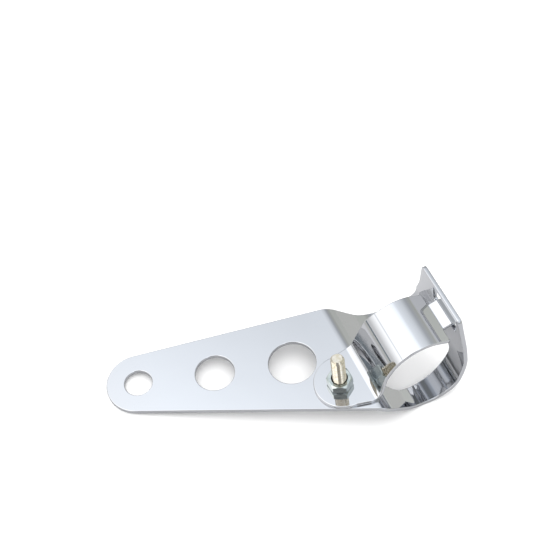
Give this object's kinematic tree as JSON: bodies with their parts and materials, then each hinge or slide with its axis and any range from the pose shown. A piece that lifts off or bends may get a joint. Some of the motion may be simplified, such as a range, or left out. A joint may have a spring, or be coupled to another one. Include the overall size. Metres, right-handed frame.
{
  "type": "headlight mounting bracket",
  "caption": "Stamped lamp ear with round holes that clamps to a fork tube by a half round band, a hooked strap and a screw.",
  "frame": {"origin": "centre of the fork clamp, on the fork tube's centre line and in the middle of the strap", "axes": "+Y along the fork tube towards the lamp hole's side, +X square to the tube and away from the ear, +Z towards the side that carries the nut"},
  "size_m": [0.1447, 0.0746, 0.0415],
  "materials": {
    "plate_chrome": "bright chrome plate on stamped steel",
    "strap_chrome": "bright chrome plate on a folded steel strip",
    "screw_plating": "warm pale plating on a steel screw",
    "washer_plating": "warm pale plating on a spring steel ring",
    "nut_plating": "bright bluish zinc plate on a steel nut"
  },
  "bodies": {
    "root": {"ear_plate": "plate_chrome", "clamp_strap": "strap_chrome", "clamp_screw": "screw_plating", "spring_washer": "washer_plating", "clamp_nut": "nut_plating"}
  },
  "joints": []
}
